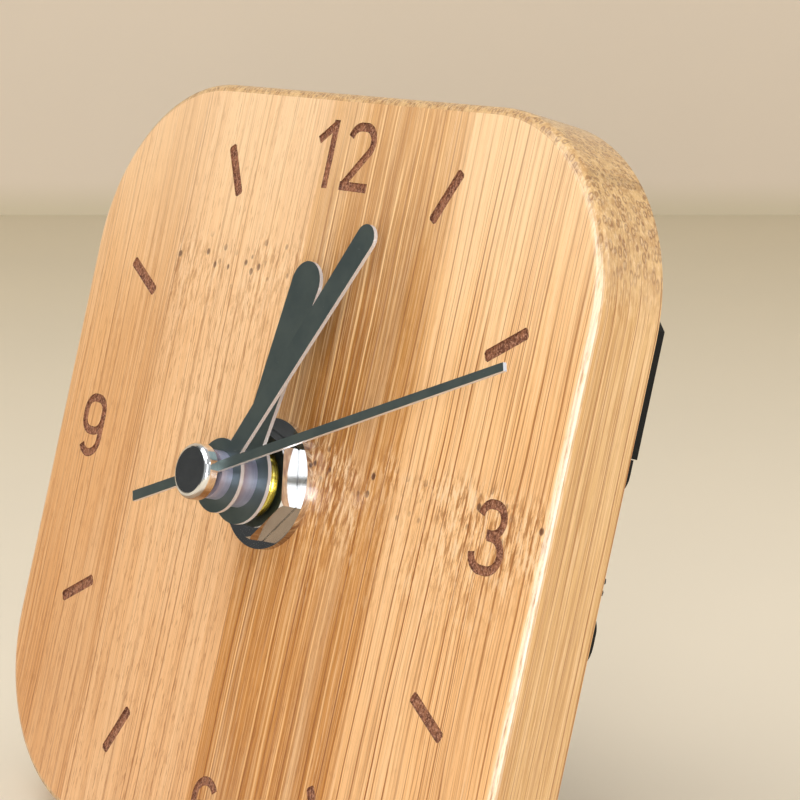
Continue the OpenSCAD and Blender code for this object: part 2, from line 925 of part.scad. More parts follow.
module second_hand() {
    tip_w = 0.85;
    tail_w = 1.15;
    color("slategray")
        translate([0, 0, second_z])
            rotate(-second_angle)
                difference() {
                    linear_extrude(hand_t)
                        union() {
                            circle(r = 1.6);
                            polygon([[tip_w / 2, second_len], [-tip_w / 2, second_len],
                                [-tail_w / 2, -second_tail], [tail_w / 2, -second_tail]]);
                        }
                    translate([0, 0, -1])
                        cylinder(h = hand_t + 2, r = second_shaft_r + 0.2);
                }
}

// A turned cap with a short tube that grips the shaft
module second_cap() {
    color("gainsboro")
        difference() {
            union() {
                rotate_extrude()
                    polygon(concat(
                        [[0, second_z + hand_t], [cap_r, second_z + hand_t]],
                        arc(cap_r - cap_round, cap_top - cap_round, cap_round, 0, 90, 8),
                        [[0, cap_top]]
                    ));
                disc(second_z - 0.25, 0.25 + hand_t + eps, second_shaft_r + 0.2);
            }
            disc(second_z - 1, 2.3, second_shaft_r);
        }
}

dial_panel();
rear_peg();
place_on_table() gasket();
place_on_table() washer();
place_on_table() hex_nut();
place_on_table() threaded_bushing();
place_on_table() case_shell();
place_on_table() rear_cover();
place_on_table() cover_screws();
place_on_table() train_plate();
place_on_table() battery();
place_on_table() positive_contact();
place_on_table() negative_contact();
place_on_table() coil_bobbin();
place_on_table() coil_winding();
place_on_table() stator();
place_on_table() circuit_board();
place_on_table() quartz_crystal();
place_on_table() chip_cover();
place_on_table() rotor();
place_on_table() fifth_wheel();
place_on_table() second_wheel();
place_on_table() third_wheel();
place_on_table() centre_wheel();
place_on_table() minute_arbor();
place_on_table() motion_wheel();
place_on_table() hour_wheel();
place_on_table() setting_idler();
place_on_table() setting_knob();
place_on_table() wheel_pins();
place_on_table() hour_hand();
place_on_table() hour_collet();
place_on_table() minute_hand();
place_on_table() minute_collet();
place_on_table() second_hand();
place_on_table() second_cap();
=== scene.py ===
"""Looks of a small bamboo desk clock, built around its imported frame.

Lengths are in metres unless a name says millimetres. Patterns are worked out in the clock's own plane:
X to the right, Y up the face and Z out of the face, in millimetres from the hand shaft.
"""
import json
from math import acos, cos, pi, radians, sin

import bpy
from mathutils import Matrix, Vector

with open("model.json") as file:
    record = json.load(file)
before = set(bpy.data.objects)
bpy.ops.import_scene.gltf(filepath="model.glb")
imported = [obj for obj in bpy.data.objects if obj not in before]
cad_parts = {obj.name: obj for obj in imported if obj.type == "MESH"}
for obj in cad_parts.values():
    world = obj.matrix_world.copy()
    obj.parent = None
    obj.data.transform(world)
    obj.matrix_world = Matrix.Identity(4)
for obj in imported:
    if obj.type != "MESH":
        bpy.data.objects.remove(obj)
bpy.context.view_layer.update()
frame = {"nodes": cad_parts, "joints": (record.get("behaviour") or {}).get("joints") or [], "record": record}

MM = 0.001

# ---------- the clock's own plane ----------

JOINTS = {joint["name"]: joint for joint in frame["joints"]}
SECOND_PIVOT_HEIGHT = 9 * MM          # how far the second hand's pivot stands in front of the face

INWARD = Vector(JOINTS["second_hand_spin"]["axis"]).normalized()
RIGHT = Vector((1, 0, 0))
OUT = -INWARD
UP = OUT.cross(RIGHT)
SHAFT = Vector(JOINTS["second_hand_spin"]["pos_m"]) + INWARD * SECOND_PIVOT_HEIGHT
LEAN_TURN = acos(OUT.z)               # turn about X that lays the row frame's axes on the clock's plane


def in_row(x, y, z):
    """A point given in the clock's plane in millimetres, in the row frame in metres."""
    return SHAFT + (RIGHT * x + UP * y + OUT * z) * MM


def tone(red, green, blue):
    """A colour given as 0 to 255 screen values, as linear RGBA."""
    def linear(value):
        part = value / 255
        return part / 12.92 if part <= 0.04045 else ((part + 0.055) / 1.055) ** 2.4
    return (linear(red), linear(green), linear(blue), 1)


def grey(value):
    return tone(value, value, value)


# ---------- a short way to write node materials ----------

class Paint:
    """One node material. Every method returns the output socket of the node that it adds."""

    def __init__(self, name):
        self.material = bpy.data.materials.new(name)
        self.material.use_nodes = True
        self.tree = self.material.node_tree
        self.tree.nodes.clear()

    def add(self, kind, **settings):
        node = self.tree.nodes.new(kind)
        for name, value in settings.items():
            setattr(node, name, value)
        return node

    def feed(self, socket, value):
        if isinstance(value, bpy.types.NodeSocket):
            self.tree.links.new(value, socket)
        else:
            socket.default_value = value

    def row_mm(self):
        """The object's own coordinates, in millimetres."""
        return self.vector("MULTIPLY", self.add("ShaderNodeTexCoord").outputs["Object"], (1 / MM,) * 3)

    def clock_mm(self):
        """Coordinates in the clock's own plane, in millimetres."""
        turn = Matrix.Rotation(-LEAN_TURN, 3, "X")
        node = self.add("ShaderNodeMapping", vector_type="POINT")
        self.feed(node.inputs["Vector"], self.row_mm())
        node.inputs["Rotation"].default_value = (-LEAN_TURN, 0, 0)
        node.inputs["Location"].default_value = -(turn @ SHAFT) / MM
        return node.outputs[0]

    def split(self, vector):
        node = self.add("ShaderNodeSeparateXYZ")
        self.feed(node.inputs[0], vector)
        return node.outputs

    def join(self, x, y, z):
        node = self.add("ShaderNodeCombineXYZ")
        for socket, value in zip(node.inputs, (x, y, z)):
            self.feed(socket, value)
        return node.outputs[0]

    def math(self, operation, *values):
        node = self.add("ShaderNodeMath", operation=operation)
        for socket, value in zip(node.inputs, values):
            self.feed(socket, value)
        return node.outputs[0]

    def times(self, a, b):
        return self.math("MULTIPLY", a, b)

    def plus(self, a, b):
        return self.math("ADD", a, b)

    def less(self, a, b):
        return self.math("SUBTRACT", a, b)

    def vector(self, operation, *values):
        node = self.add("ShaderNodeVectorMath", operation=operation)
        for socket, value in zip(node.inputs, values):
            self.feed(socket, value)
        return node.outputs["Value" if operation in ("DOT_PRODUCT", "LENGTH") else "Vector"]

    def rise(self, value, low, high, to=1.0, start=0.0):
        """start below low, to above high, and a smooth step between them. low may be the higher one."""
        node = self.add("ShaderNodeMapRange", interpolation_type="SMOOTHSTEP")
        names = ("Value", "From Min", "From Max", "To Min", "To Max")
        for name, part in zip(names, (value, low, high, start, to)):
            self.feed(node.inputs[name], part)
        return node.outputs[0]

    def near(self, value, centre, reach):
        """1 at centre, falling smoothly to 0 at reach on either side."""
        return self.rise(self.math("ABSOLUTE", self.less(value, centre)), reach, 0)

    def mix(self, factor, a, b, blend="MIX"):
        node = self.add("ShaderNodeMix", data_type="RGBA", blend_type=blend)
        for index, value in ((0, factor), (6, a), (7, b)):
            self.feed(node.inputs[index], value)
        return node.outputs[2]

    def blend(self, factor, a, b):
        """Between two numbers."""
        node = self.add("ShaderNodeMix", data_type="FLOAT")
        for index, value in ((0, factor), (2, a), (3, b)):
            self.feed(node.inputs[index], value)
        return node.outputs[0]

    def noise(self, vector, scales, detail=2.0, roughness=0.5, seed=0.0):
        """Noise with so many features for each millimetre along each axis, mostly between 0.3 and 0.7."""
        node = self.add("ShaderNodeTexNoise")
        self.feed(node.inputs["Vector"], self.vector("MULTIPLY_ADD", vector, scales, (seed * 17.3,) * 3))
        for name, value in (("Scale", 1.0), ("Detail", detail), ("Roughness", roughness)):
            node.inputs[name].default_value = value
        return node.outputs[0]

    def cells(self, vector, scales, randomness=1.0):
        """Distance to the nearest of some scattered points, and a random number for each point."""
        node = self.add("ShaderNodeTexVoronoi")
        self.feed(node.inputs["Vector"], self.vector("MULTIPLY", vector, scales))
        node.inputs["Scale"].default_value = 1.0
        node.inputs["Randomness"].default_value = randomness
        return node.outputs["Distance"], self.split(node.outputs["Color"])[0]

    def grain_lines(self, across, along, spacing, half_width, share, seed):
        """Thin lines along the grain at scattered places, each fading in and out along its length."""
        node = self.add("ShaderNodeTexVoronoi", voronoi_dimensions="1D")
        self.feed(node.inputs["W"], self.math("MULTIPLY_ADD", across, 1 / spacing, seed))
        node.inputs["Scale"].default_value = 1.0
        chance, phase, weight = self.split(node.outputs["Color"])
        thin = self.rise(node.outputs["Distance"], half_width / spacing, 0.35 * half_width / spacing)
        fade = self.noise(self.join(self.times(phase, 60.0), self.times(along, 0.03), seed), (1, 1, 1), 1)
        shown = self.times(self.rise(chance, 1 - share, 1.1 - share), self.rise(fade, 0.36, 0.5))
        return self.times(self.times(thin, shown), self.plus(0.55, self.times(weight, 0.45)))

    def bump(self, height, depth):
        """A relief of the given depth in metres."""
        node = self.add("ShaderNodeBump")
        node.inputs["Strength"].default_value = 1.0
        node.inputs["Distance"].default_value = depth
        self.feed(node.inputs["Height"], height)
        return node.outputs[0]

    def done(self, **sockets):
        """Ends in a Principled shader. A name's underscores stand for spaces."""
        shader = self.add("ShaderNodeBsdfPrincipled")
        for name, value in sockets.items():
            self.feed(shader.inputs[name.replace("_", " ")], value)
        self.tree.links.new(shader.outputs[0], self.add("ShaderNodeOutputMaterial").inputs[0])
        return self.material


# ---------- bamboo ----------

STRIP_EDGES = (-27.0, -3.0, 20.5)     # joints between the four glued strips of the panel
EDGE_BLUR = (0.2, 0.4, 1.8)           # over how far the tone changes on each side of a joint
STRIP_TONES = (tone(231, 178, 122), tone(241, 191, 138), tone(214, 154, 84), tone(244, 191, 132))
STRIP_LINES = (0.45, 0.6, 0.85, 1.0)     # how plainly the brown fibre bundles show in each strip
STRIP_FLECKS = (0.5, 0.8, 0.6, 0.25)     # how plainly the short flecks show
STRIP_STREAKS = (0.8, 0.7, 1.0, 0.5)     # how strongly the broad streaks change the tone
STRIP_PAINTED_SHADE = (0.85, 0.55, 0.7, 0.35)     # how much painted shade darkens each strip at the bottom
STRIP_KNUCKLES = (70.0, 23.5, 3.5, 2.6)  # height of the knuckle in each strip; 70 is off the panel
STRIP_ROUGH = (0.0, 0.5, 1.0, 0.75)      # how rough each knuckle looks
GLUE_LINE = 0.14                      # half the width of a joint between strips
HEART = tone(168, 110, 43)            # the brown core of the third strip
HEART_STREAK = tone(250, 206, 150)    # pale fibres that cross it
FIBRE_BROWN = tone(154, 90, 24)
PALE = tone(252, 218, 176)
END_GRAIN = (tone(190, 144, 88), tone(218, 176, 118))
LOZENGE = tone(128, 80, 36)
SIDE_TAN = tone(212, 168, 110)
# the pale colour of the painted highlight along the rounded edges
PAINTED_EDGE_HIGHLIGHT = tone(255, 240, 216)
BURNT = tone(96, 48, 24)
BURNT_LIGHT = tone(150, 94, 62)
ENGRAVED_FROM, ENGRAVED_TO = -0.5, -0.04   # Z between which the surface is the burnt engraving
DIAL_EDGE = 42.1                      # the engraving lies inside this radius
TOP_EDGE, BOTTOM_EDGE = 43.5, -43.5   # Y of the panel's ends


def by_strip(g, x, values, colours=False):
    """The value of the strip that x lies in."""
    result = values[0]
    for edge, blur, value in zip(STRIP_EDGES, EDGE_BLUR, values[1:]):
        past = g.rise(x, edge - blur, edge + blur)
        result = g.mix(past, result, value) if colours else g.blend(past, result, value)
    return result


def bamboo():
    g = Paint("bamboo")
    place = g.clock_mm()
    x, y, z = g.split(place)
    normal = g.add("ShaderNodeTexCoord").outputs["Normal"]
    end_on = g.rise(g.math("ABSOLUTE", g.vector("DOT_PRODUCT", normal, tuple(UP))), 0.1, 0.38)
    side_on = g.rise(g.math("ABSOLUTE", g.vector("DOT_PRODUCT", normal, tuple(RIGHT))), 0.66, 0.72)
    front_on = g.math("SUBTRACT", 1.0, g.math("MAXIMUM", end_on, side_on))

    # the fibres wander a little along their length
    drift = g.times(g.less(g.noise(place, (0.05, 0.014, 0.05), 1), 0.5), 2.2)
    waver = g.times(g.less(g.noise(place, (0.4, 0.09, 0.4), 1, 0.5, 3), 0.5), 0.35)
    wander = g.plus(drift, waver)
    fibres = g.join(g.plus(x, wander), y, z)
    across = g.plus(g.blend(side_on, x, g.times(z, 1.7)), wander)
    bold = g.grain_lines(across, y, 1.8, 0.15, 0.85, 11)
    medium = g.grain_lines(across, y, 0.9, 0.09, 0.65, 37)
    hairs = g.grain_lines(across, y, 0.42, 0.06, 0.6, 71)
    light_lines = g.grain_lines(across, y, 1.3, 0.17, 0.8, 53)
    light_hairs = g.grain_lines(across, y, 0.5, 0.1, 0.65, 91)
    streaks = g.noise(fibres, (1.5, 0.012, 1.5), 3, 0.62)
    fine = g.noise(fibres, (6.0, 0.06, 6.0), 3, 0.65, 4)
    flecks = g.noise(fibres, (4.2, 0.5, 4.2), 3, 0.6, 9)
    blotch = g.noise(fibres, (1.1, 0.22, 1.1), 3, 0.65, 15)
    broad = g.noise(fibres, (0.16, 0.013, 0.16), 3, 0.5, 2)
    strength = g.blend(side_on, by_strip(g, x, STRIP_LINES), 0.8)

    # knuckles, where the grain breaks into short rough streaks with a row of pits
    ripple = g.times(g.less(g.noise(place, (0.22, 0.05, 0.22), 2, 0.5, 7), 0.5), 6.0)
    above = g.plus(g.less(y, by_strip(g, x, STRIP_KNUCKLES)), ripple)
    rough_zone = g.times(g.times(g.rise(above, -17, -1), g.rise(above, 4.0, 1.0)), front_on)
    patches = g.rise(g.noise(place, (0.16, 0.1, 0.16), 2, 0.5, 29), 0.38, 0.55, 1.0, 0.35)
    rough_zone = g.times(rough_zone, g.times(by_strip(g, x, STRIP_ROUGH), patches))
    ragged = g.noise(fibres, (2.1, 0.4, 2.1), 4, 0.7, 13)
    pit_far, pit_chance = g.cells(g.join(x, y, 0.0), (0.7, 0.55, 1.0))
    pit_zone = g.times(g.rise(pit_chance, 0.1, 0.35), g.near(above, 0, 3.2))
    pits = g.times(g.times(g.rise(pit_far, 0.27, 0.15), pit_zone), front_on)

    ragged_x = g.plus(x, g.times(g.less(streaks, 0.5), 7.0))
    colour = by_strip(g, ragged_x, STRIP_TONES, colours=True)
    colour = g.mix(side_on, colour, SIDE_TAN)
    # the third strip is darkest in the upper half, nearest its left edge, with pale fibres across it
    left, right = STRIP_EDGES[1], STRIP_EDGES[2]
    third = g.times(g.rise(x, left - 0.6, left + 3.0), g.rise(ragged_x, right + 1.0, right - 4.0))
    third = g.times(third, front_on)
    core = g.times(g.rise(x, right, 11), g.plus(0.6, g.times(g.rise(y, 42, 20), 0.4)))
    upper = g.times(g.plus(0.35, g.times(core, 0.6)), g.rise(y, 46, 24, 1.0, 0.5))
    upper = g.times(g.rise(y, -6, 10), upper)
    lower = g.times(g.rise(y, 0, -14), g.rise(broad, 0.42, 0.56, 0.55))
    heart = g.times(third, g.plus(upper, lower))
    colour = g.mix(g.times(heart, g.rise(blotch, 0.3, 0.62, 0.95, 0.35)), colour, HEART)
    # broad and fine changes of tone along the grain
    streaky = by_strip(g, x, STRIP_STREAKS)
    colour = g.mix(g.times(g.rise(broad, 0.5, 0.66, 0.3), streaky), colour, PALE)
    colour = g.mix(g.times(g.rise(broad, 0.48, 0.36, 0.2), streaky), colour, FIBRE_BROWN)
    colour = g.mix(g.times(g.rise(streaks, 0.54, 0.68, 0.35), streaky), colour, PALE)
    colour = g.mix(g.times(g.rise(streaks, 0.47, 0.36), g.times(strength, 0.35)), colour, FIBRE_BROWN)
    colour = g.mix(g.rise(fine, 0.5, 0.64, 0.32), colour, PALE)
    colour = g.mix(g.rise(fine, 0.48, 0.36, 0.3), colour, FIBRE_BROWN)
    fleck_depth = g.times(by_strip(g, x, STRIP_FLECKS), 0.6)
    colour = g.mix(g.times(g.rise(flecks, 0.45, 0.33), fleck_depth), colour, FIBRE_BROWN)
    light = g.plus(g.times(third, 0.95), g.times(side_on, 0.3))
    colour = g.mix(g.times(light_lines, g.plus(light, 0.12)), colour, HEART_STREAK)
    colour = g.mix(g.times(light_hairs, g.times(light, 0.55)), colour, HEART_STREAK)
    colour = g.mix(g.times(bold, strength), colour, FIBRE_BROWN)
    colour = g.mix(g.times(g.times(medium, strength), 0.85), colour, FIBRE_BROWN)
    colour = g.mix(g.times(g.times(hairs, strength), 0.45), colour, FIBRE_BROWN)
    # rough brown and pale streaks below each knuckle, and its pits
    colour = g.mix(g.times(rough_zone, g.rise(ragged, 0.5, 0.4, 0.9)), colour, tone(154, 92, 30))
    colour = g.mix(g.times(rough_zone, g.rise(ragged, 0.51, 0.6, 0.8)), colour, PALE)
    colour = g.mix(g.times(pits, 0.9), colour, tone(92, 50, 24))
    for edge in STRIP_EDGES:
        colour = g.mix(g.times(g.near(x, edge, GLUE_LINE), 0.3), colour, FIBRE_BROWN)
    # painted light: a painted sheen makes the face paler towards the top, and painted shade makes it browner
    # towards the bottom
    painted_low_shade = g.times(g.rise(y, TOP_EDGE, BOTTOM_EDGE), by_strip(g, x, STRIP_PAINTED_SHADE))
    colour = g.mix(painted_low_shade, colour, tone(232, 212, 190), "MULTIPLY")
    # painted sheen over the upper face, weaker on the third strip
    painted_top_sheen = g.times(g.rise(y, 12, TOP_EDGE, 0.4), g.less(front_on, g.times(third, 0.5)))
    colour = g.mix(painted_top_sheen, colour, PALE)
    # painted highlight: the rounded edges are painted pale, broken up by the flecks
    outward = g.math("ABSOLUTE", g.vector("DOT_PRODUCT", normal, tuple(OUT)))
    wear_and_painted_highlight = g.times(g.rise(outward, 0.985, 0.9), g.rise(outward, 0.35, 0.6))
    colour = g.mix(g.times(wear_and_painted_highlight, g.rise(flecks, 0.3, 0.55, 0.5, 0.15)), colour, PAINTED_EDGE_HIGHLIGHT)

    # end grain: close rows of dark lozenges where the fibre bundles are cut across
    bundle_far, bundle_chance = g.cells(fibres, (1.6, 0.4, 1.6), 0.75)
    bundles = g.plus(g.near(bundle_far, 0.36, 0.2), g.rise(bundle_far, 0.2, 0.05, 0.35))
    bundles = g.times(bundles, g.rise(bundle_chance, 0.0, 0.5, 0.7, 0.3))
    ends = g.mix(g.rise(blotch, 0.35, 0.65), *END_GRAIN)
    ends = g.mix(bundles, ends, LOZENGE)
    ends = g.mix(g.rise(flecks, 0.5, 0.64, 0.3), ends, PALE)
    colour = g.mix(end_on, colour, ends)

    # burnt engraving: the floors and walls of the marks and numerals
    radius = g.vector("LENGTH", g.join(x, y, 0.0))
    below_face = g.rise(z, ENGRAVED_TO + 0.03, ENGRAVED_TO)
    above_core = g.rise(z, ENGRAVED_FROM, ENGRAVED_FROM + 0.03)
    burnt = g.times(g.times(below_face, above_core), g.rise(radius, DIAL_EDGE, DIAL_EDGE - 0.1))
    scorch = g.noise(fibres, (2.4, 1.1, 2.4), 4, 0.65, 21)
    speckle = g.noise(fibres, (5.0, 3.0, 5.0), 3, 0.7, 25)
    char = g.mix(g.rise(scorch, 0.4, 0.6), BURNT, BURNT_LIGHT)
    char = g.mix(g.rise(speckle, 0.48, 0.62, 0.65), char, tone(206, 150, 118))
    colour = g.mix(burnt, colour, char)

    relief = g.plus(g.times(fine, 0.8), g.times(flecks, 0.6))
    relief = g.less(relief, g.plus(g.times(g.plus(bold, medium), 0.5), g.times(pits, 2.0)))
    relief = g.plus(relief, g.times(g.times(rough_zone, ragged), 1.2))
    relief = g.less(relief, g.times(g.times(bundles, end_on), 0.5))
    relief = g.plus(relief, g.times(burnt, g.times(scorch, 4.0)))
    gloss = g.blend(burnt, g.rise(fine, 0.3, 0.7, 0.5, 0.36), 0.8)
    return g.done(Base_Color=colour, Roughness=gloss, Normal=g.bump(relief, 0.06 * MM),
                  Coat_Weight=0.6, Coat_Roughness=0.16)


def peg_wood():
    """A turned dowel: long pale grain, with darker pores."""
    g = Paint("peg_wood")
    place = g.clock_mm()
    grain = g.noise(place, (1.3, 1.3, 0.05), 4, 0.6)
    far, chance = g.cells(place, (2.2, 2.2, 0.16))
    pores = g.times(g.rise(far, 0.3, 0.12), g.rise(chance, 0.3, 1.0))
    colour = g.mix(g.rise(grain, 0.35, 0.7), tone(203, 158, 108), tone(228, 190, 142))
    colour = g.mix(g.times(pores, 0.5), colour, tone(160, 112, 68))
    relief = g.bump(g.less(grain, g.times(pores, 0.6)), 0.04 * MM)
    return g.done(Base_Color=colour, Roughness=g.rise(grain, 0.3, 0.7, 0.62, 0.5), Normal=relief)


# ---------- metals ----------

def facing(g):
    """1 where the surface faces straight out of or into the clock's face, 0 on its edges."""
    normal = g.add("ShaderNodeTexCoord").outputs["Normal"]
    return g.math("ABSOLUTE", g.vector("DOT_PRODUCT", normal, tuple(OUT)))


def specks(g, place, amount):
    """Scattered dust, finer and fainter than a tenth of a millimetre."""
    far, chance = g.cells(place, (1.6, 1.6, 1.6))
    return g.times(g.rise(far, 0.075, 0.03), g.rise(chance, 1 - amount, 1.02 - amount))


def hand_metal():
    """Satin grey-green sheet metal, with pale cut edges that are partly bare metal and partly a painted
    highlight, hairline scratches and a little dust.
    """
    g = Paint("hand_metal")
    place = g.row_mm()
    flat = g.rise(facing(g), 0.75, 0.93)
    cloud = g.noise(place, (0.25, 0.25, 0.25), 3, 0.6)
    brushed = g.noise(place, (0.35, 5.0, 9.0), 3, 0.6, 3.0)
    scratch_far, scratch_chance = g.cells(g.vector("ADD", place, (3.0, 7.0, 1.0)), (0.16, 1.7, 1.1))
    scratches = g.times(g.rise(scratch_far, 0.06, 0.03), g.rise(scratch_chance, 0.5, 0.7))
    dust = g.times(specks(g, place, 0.3), flat)
    face = g.mix(g.rise(cloud, 0.3, 0.7), tone(102, 116, 116), tone(114, 127, 124))
    face = g.mix(g.times(scratches, 0.35), face, tone(150, 158, 158))
    # the edges are pale: partly bare cut metal, partly a painted highlight
    colour = g.mix(flat, tone(206, 206, 210), face)
    colour = g.mix(g.times(dust, 0.55), colour, tone(190, 190, 182))
    gloss = g.plus(g.blend(flat, 0.24, 0.4), g.times(g.less(brushed, 0.5), 0.12))
    return g.done(Base_Color=colour, Metallic=g.blend(flat, 0.35, 0.85), Roughness=gloss,
                  Normal=g.bump(brushed, 0.004 * MM))


def bright_metal(name, light, dark, roughness, turned=7.0, depth=0.003, painted_underside_reflection=None, metallic=1.0):
    """Plated or polished metal with faint turning marks round the shaft, and a painted reflection on the
    faces that turn downward when a colour for it is given.
    """
    g = Paint(name)
    place = g.clock_mm()
    x, y, z = g.split(place)
    radius = g.vector("LENGTH", g.join(x, y, 0.0))
    rings = g.noise(g.join(radius, 0.0, z), (turned, turned, turned), 3, 0.6)
    cloud = g.noise(place, (0.5, 0.5, 0.5), 2)
    colour = g.mix(g.rise(g.plus(g.times(rings, 0.4), g.times(cloud, 0.6)), 0.35, 0.65), dark, light)
    # painted reflection: faces turned downward are tinted towards a warm darker colour, as if reflecting the
    # wood below
    if painted_underside_reflection:
        normal = g.add("ShaderNodeTexCoord").outputs["Normal"]
        upward = g.vector("DOT_PRODUCT", normal, tuple(UP))
        colour = g.mix(g.rise(upward, -0.4, -0.6, 0.8), colour, painted_underside_reflection)
    gloss = g.plus(roughness, g.times(g.less(cloud, 0.4), roughness * 0.6))
    relief = g.bump(rings, depth * MM)
    return g.done(Base_Color=colour, Metallic=metallic, Roughness=gloss, Normal=relief)


def strip_metal(name, light, dark, roughness):
    """Rolled sheet or wire, with fine lines along X."""
    g = Paint(name)
    place = g.row_mm()
    rolled = g.noise(place, (0.3, 7.0, 7.0), 3, 0.6)
    cloud = g.noise(place, (0.4, 0.4, 0.4), 2)
    colour = g.mix(g.rise(g.plus(g.times(rolled, 0.5), g.times(cloud, 0.5)), 0.35, 0.65), dark, light)
    gloss = g.rise(rolled, 0.3, 0.7, roughness + 0.08, roughness - 0.05)
    relief = g.bump(rolled, 0.006 * MM)
    return g.done(Base_Color=colour, Metallic=1.0, Roughness=gloss, Normal=relief)


# ---------- plastics, rubber and the rest ----------

def moulded(name, colour, lighter, roughness, grain=4.0, depth=0.012, **sockets):
    """Moulded plastic or rubber: a fine stippled surface and a slight unevenness of colour."""
    g = Paint(name)
    place = g.row_mm()
    cloud = g.noise(place, (0.12, 0.12, 0.12), 3, 0.6)
    stipple = g.noise(place, (grain,) * 3, 3, 0.6, 5.0)
    # scattered pale specks of wear
    wear_and_painted_highlight = g.times(specks(g, place, 0.12), 0.4)
    shade = g.mix(g.rise(cloud, 0.35, 0.7), colour, lighter)
    shade = g.mix(wear_and_painted_highlight, shade, tone(170, 168, 160))
    gloss = g.rise(stipple, 0.3, 0.7, roughness + 0.07, roughness - 0.05)
    return g.done(Base_Color=shade, Roughness=gloss, Normal=g.bump(stipple, depth * MM), **sockets)


SLEEVE_SPLIT = 11.0                      # X where the sleeve's two colours meet, in millimetres
SLEEVE_BAND = 0.35                       # half the width of the pale ring between them
SLEEVE_LEFT, SLEEVE_RIGHT = -23.6, 22.6  # the cell is bare metal past these


def battery_sleeve():
    """A glossy wrapped sleeve in two colours, with the bare metal ends of the cell."""
    g = Paint("battery_sleeve")
    x, y, z = g.split(g.row_mm())
    past_split = g.rise(x, SLEEVE_SPLIT - 0.1, SLEEVE_SPLIT + 0.1)
    sleeve = g.mix(past_split, tone(30, 44, 74), tone(196, 120, 44))
    sleeve = g.mix(g.near(x, SLEEVE_SPLIT, SLEEVE_BAND), sleeve, tone(206, 200, 186))
    wear = g.noise(g.row_mm(), (0.5, 1.5, 1.5), 4, 0.65)
    sleeve = g.mix(g.rise(wear, 0.55, 0.75, 0.25), sleeve, tone(110, 116, 128))
    past_right = g.rise(x, SLEEVE_RIGHT, SLEEVE_RIGHT + 0.1)
    bare = g.plus(past_right, g.rise(x, SLEEVE_LEFT, SLEEVE_LEFT - 0.1))
    colour = g.mix(bare, sleeve, tone(206, 204, 198))
    return g.done(Base_Color=colour, Metallic=bare, Roughness=g.blend(bare, 0.26, 0.32),
                  Normal=g.bump(wear, 0.006 * MM), Coat_Weight=0.3, Coat_Roughness=0.15)


WIRE_TURNS = 6.0                         # turns of the winding in each millimetre


def copper_wire():
    """Fine enamelled wire wound round the bobbin, side by side, with painted shade between the turns and a
    painted highlight on their crests.
    """
    g = Paint("copper_wire")
    place = g.row_mm()
    x, y, z = g.split(place)
    lap = g.math("SINE", g.times(x, 2 * pi * WIRE_TURNS))
    uneven = g.noise(place, (0.8, 0.8, 0.8), 2)
    # painted shade and highlight: each turn is dark in the groove beside it and bright on its crest
    colour = g.mix(g.rise(lap, -0.9, 0.4), tone(88, 38, 16), tone(196, 104, 56))
    colour = g.mix(g.rise(uneven, 0.4, 0.7, 0.3), colour, tone(150, 66, 30))
    gloss = g.rise(uneven, 0.3, 0.7, 0.36, 0.28)
    return g.done(Base_Color=colour, Metallic=0.7, Roughness=gloss, Normal=g.bump(lap, 0.03 * MM))


MATERIALS = {
    "bamboo": bamboo(),
    "peg_wood": peg_wood(),
    "rubber": moulded("rubber", grey(38), grey(50), 0.78, 6.0, 0.02),
    "chrome": bright_metal("chrome", grey(236), grey(222), 0.085, painted_underside_reflection=tone(150, 128, 106)),
    "brass": bright_metal("brass", tone(236, 222, 120), tone(208, 186, 86), 0.22),
    "black_plastic": moulded("black_plastic", grey(7), grey(12), 0.5, Specular_IOR_Level=0.25),
    "steel": strip_metal("steel", grey(196), grey(168), 0.3),
    "pale_plastic": moulded("pale_plastic", tone(222, 216, 196), tone(234, 230, 214), 0.42),
    "battery_sleeve": battery_sleeve(),
    "nickel": strip_metal("nickel", tone(214, 210, 198), tone(188, 182, 168), 0.24),
    "copper_wire": copper_wire(),
    "board": moulded("board", tone(140, 96, 52), tone(160, 112, 62), 0.5, 3.0, 0.01),
    "black_resin": moulded("black_resin", grey(16), grey(24), 0.16, 1.2, 0.01),
    "magnet": moulded("magnet", grey(66), grey(84), 0.36, 5.0, 0.01, Metallic=0.6),
    "wheel_plastic": moulded("wheel_plastic", tone(232, 232, 226), tone(242, 242, 238), 0.36,
                             3.0, 0.006),
    "knob_plastic": moulded("knob_plastic", grey(26), grey(36), 0.5),
    "hand_metal": hand_metal(),
    "collet_metal": bright_metal("collet_metal", tone(196, 192, 212), tone(168, 164, 188), 0.3,
                                 9.0, metallic=0.6),
}

for part in frame["record"]["subparts"]:
    node = frame["nodes"][part["node"]]
    node.data.materials.clear()
    node.data.materials.append(MATERIALS[part["material_slot"]])


# ---------- camera ----------

CAMERA_PLACE = (225.2, 14.5, 171.9)   # in the clock's plane
CAMERA_PITCH = -10.41                 # degrees below level
CAMERA_YAW = 51.43                    # degrees to the left of straight at the clock
LENS = 117.1
SENSOR = 36.0

camera_data = bpy.data.cameras.new("camera")
camera_data.lens = LENS
camera_data.sensor_width = SENSOR
camera = bpy.data.objects.new("camera", camera_data)
camera.location = in_row(*CAMERA_PLACE)
camera.rotation_euler = (radians(90 + CAMERA_PITCH), 0, radians(CAMERA_YAW))
bpy.context.scene.collection.objects.link(camera)
bpy.context.scene.camera = camera
bpy.context.scene.view_settings.view_transform = "Standard"


# ---------- floor, wall and lights ----------

